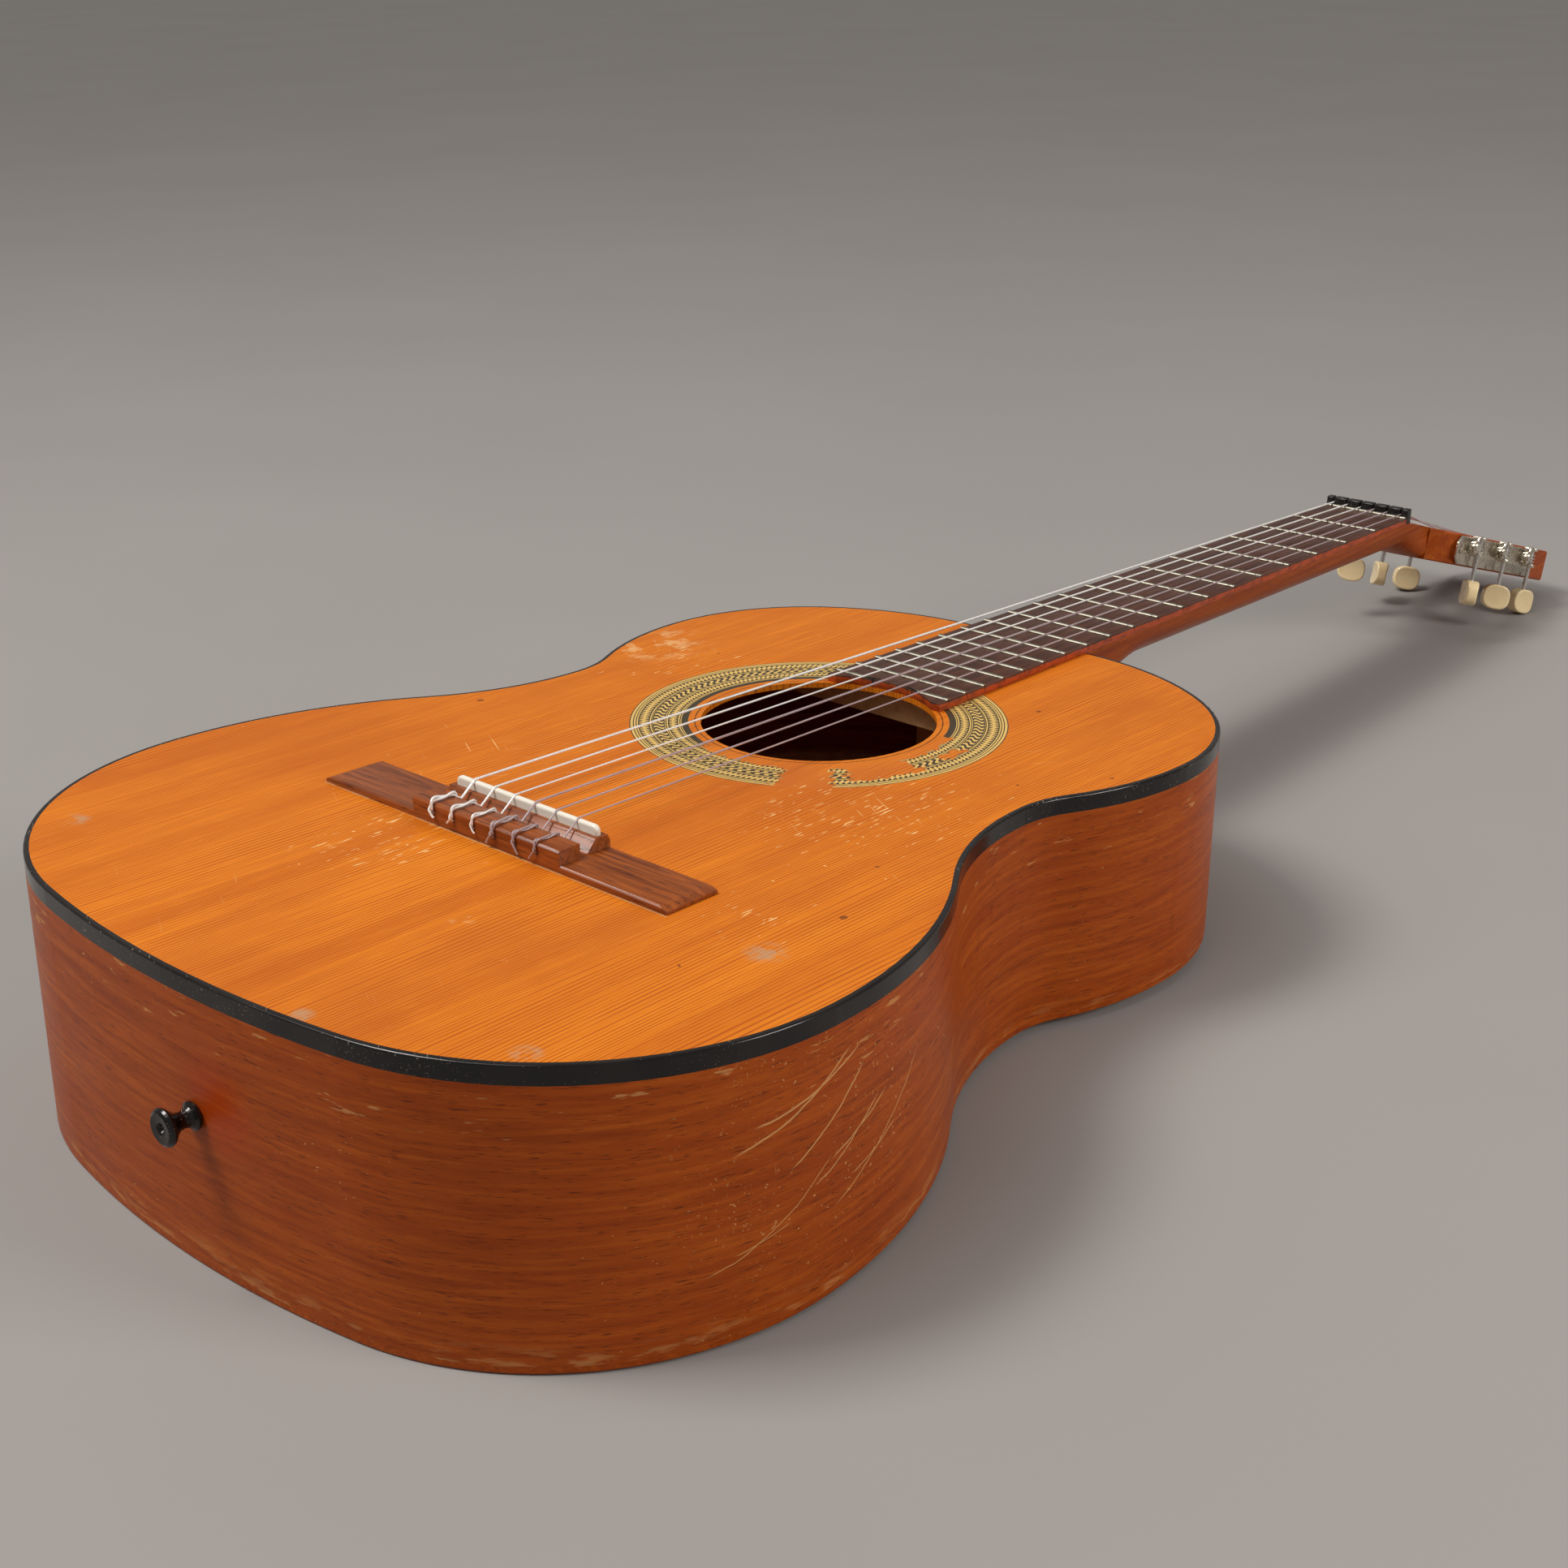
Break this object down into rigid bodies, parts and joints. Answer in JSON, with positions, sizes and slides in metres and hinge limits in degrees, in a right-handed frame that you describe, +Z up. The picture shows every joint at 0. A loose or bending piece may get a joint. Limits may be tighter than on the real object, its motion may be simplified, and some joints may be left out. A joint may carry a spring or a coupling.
{
  "type": "classical guitar",
  "caption": "Full-size classical guitar with a slotted head, side-mounted geared tuning machines that turn, a tie bridge and an open soundhole; it lies on its back.",
  "frame": {"origin": "on the floor under the middle of the guitar's bounding box, as it rests on the tail edge of its back and its lowest pair of tuning buttons", "axes": "+X to the treble side, +Y from the tail to the head, +Z up out of the soundboard (the soundboard leans about 1.8 degrees down towards the head)"},
  "size_m": [0.367, 1.015, 0.1196],
  "materials": {
    "top_spruce": "amber lacquered spruce",
    "decal": "printed decal under lacquer, worn",
    "mahogany": "reddish brown gloss lacquer, scratched",
    "black_binding": "polished black",
    "inner_wood": "bare pale wood",
    "fingerboard_wood": "dark rosewood, open grain",
    "bridge_wood": "rosewood, satin",
    "fret_metal": "worn nickel silver",
    "saddle_plastic": "white, polished",
    "nut_plastic": "black",
    "treble_nylon": "clear nylon",
    "bass_wire": "silver wound",
    "tuner_metal": "aged nickel plate",
    "button_plastic": "cream, aged",
    "roller_plastic": "off-white",
    "pin_black": "turned, polished black"
  },
  "bodies": {
    "root": {"soundboard": "top_spruce", "rosette": "decal", "back_plate": "mahogany", "side_treble": "mahogany", "side_bass": "mahogany", "top_binding": "black_binding", "neck_block": "inner_wood", "tail_block": "inner_wood", "top_linings": "inner_wood", "back_linings": "inner_wood", "transverse_bars": "inner_wood", "fan_braces": "inner_wood", "back_braces": "inner_wood", "back_centre_strip": "inner_wood", "end_pin": "pin_black", "neck": "mahogany", "fingerboard": "fingerboard_wood", "frets": "fret_metal", "zero_fret": "fret_metal", "nut": "nut_plastic", "bridge": "bridge_wood", "saddle": "saddle_plastic", "tuner_plate_treble": "tuner_metal", "tuner_plate_bass": "tuner_metal", "plate_screws_treble": "tuner_metal", "plate_screws_bass": "tuner_metal", "string_1": "treble_nylon", "string_2": "treble_nylon", "string_3": "treble_nylon", "string_4": "bass_wire", "string_5": "bass_wire", "string_6": "bass_wire"},
    "key_1": {"worm_1": "tuner_metal", "button_1": "button_plastic"},
    "winder_1": {"roller_1": "roller_plastic", "cog_1": "tuner_metal"},
    "key_2": {"worm_2": "tuner_metal", "button_2": "button_plastic"},
    "winder_2": {"roller_2": "roller_plastic", "cog_2": "tuner_metal"},
    "key_3": {"worm_3": "tuner_metal", "button_3": "button_plastic"},
    "winder_3": {"roller_3": "roller_plastic", "cog_3": "tuner_metal"},
    "key_4": {"worm_4": "tuner_metal", "button_4": "button_plastic"},
    "winder_4": {"roller_4": "roller_plastic", "cog_4": "tuner_metal"},
    "key_5": {"worm_5": "tuner_metal", "button_5": "button_plastic"},
    "winder_5": {"roller_5": "roller_plastic", "cog_5": "tuner_metal"},
    "key_6": {"worm_6": "tuner_metal", "button_6": "button_plastic"},
    "winder_6": {"roller_6": "roller_plastic", "cog_6": "tuner_metal"}
  },
  "joints": [
    {"name": "button_turn_1", "type": "hinge", "parent": "root", "child": "key_1", "pos_m": [0.0392, 0.39133, 0.05853], "axis": [0, 0.3012, 0.9536], "continuous": true},
    {"name": "roller_turn_1", "type": "hinge", "parent": "root", "child": "winder_1", "pos_m": [0.0155, 0.3851, 0.0605], "axis": [1, 0, 0], "continuous": true},
    {"name": "button_turn_2", "type": "hinge", "parent": "root", "child": "key_2", "pos_m": [0.0392, 0.42948, 0.04648], "axis": [0, 0.3012, 0.9536], "continuous": true},
    {"name": "roller_turn_2", "type": "hinge", "parent": "root", "child": "winder_2", "pos_m": [0.0155, 0.42324, 0.04845], "axis": [1, 0, 0], "continuous": true},
    {"name": "button_turn_3", "type": "hinge", "parent": "root", "child": "key_3", "pos_m": [0.0392, 0.46762, 0.03444], "axis": [0, 0.3012, 0.9536], "continuous": true},
    {"name": "roller_turn_3", "type": "hinge", "parent": "root", "child": "winder_3", "pos_m": [0.0155, 0.46138, 0.0364], "axis": [1, 0, 0], "continuous": true},
    {"name": "button_turn_4", "type": "hinge", "parent": "root", "child": "key_4", "pos_m": [-0.0392, 0.46762, 0.03444], "axis": [0, 0.3012, 0.9536], "continuous": true},
    {"name": "roller_turn_4", "type": "hinge", "parent": "root", "child": "winder_4", "pos_m": [-0.0155, 0.46138, 0.0364], "axis": [1, 0, 0], "continuous": true},
    {"name": "button_turn_5", "type": "hinge", "parent": "root", "child": "key_5", "pos_m": [-0.0392, 0.42948, 0.04648], "axis": [0, 0.3012, 0.9536], "continuous": true},
    {"name": "roller_turn_5", "type": "hinge", "parent": "root", "child": "winder_5", "pos_m": [-0.0155, 0.42324, 0.04845], "axis": [1, 0, 0], "continuous": true},
    {"name": "button_turn_6", "type": "hinge", "parent": "root", "child": "key_6", "pos_m": [-0.0392, 0.39133, 0.05853], "axis": [0, 0.3012, 0.9536], "continuous": true},
    {"name": "roller_turn_6", "type": "hinge", "parent": "root", "child": "winder_6", "pos_m": [-0.0155, 0.3851, 0.0605], "axis": [1, 0, 0], "continuous": true}
  ],
  "couplings": [
    {"joint": "roller_turn_1", "follows": "button_turn_1", "ratio": -0.071429},
    {"joint": "roller_turn_2", "follows": "button_turn_2", "ratio": -0.071429},
    {"joint": "roller_turn_3", "follows": "button_turn_3", "ratio": -0.071429},
    {"joint": "roller_turn_4", "follows": "button_turn_4", "ratio": 0.071429},
    {"joint": "roller_turn_5", "follows": "button_turn_5", "ratio": 0.071429},
    {"joint": "roller_turn_6", "follows": "button_turn_6", "ratio": 0.071429}
  ]
}
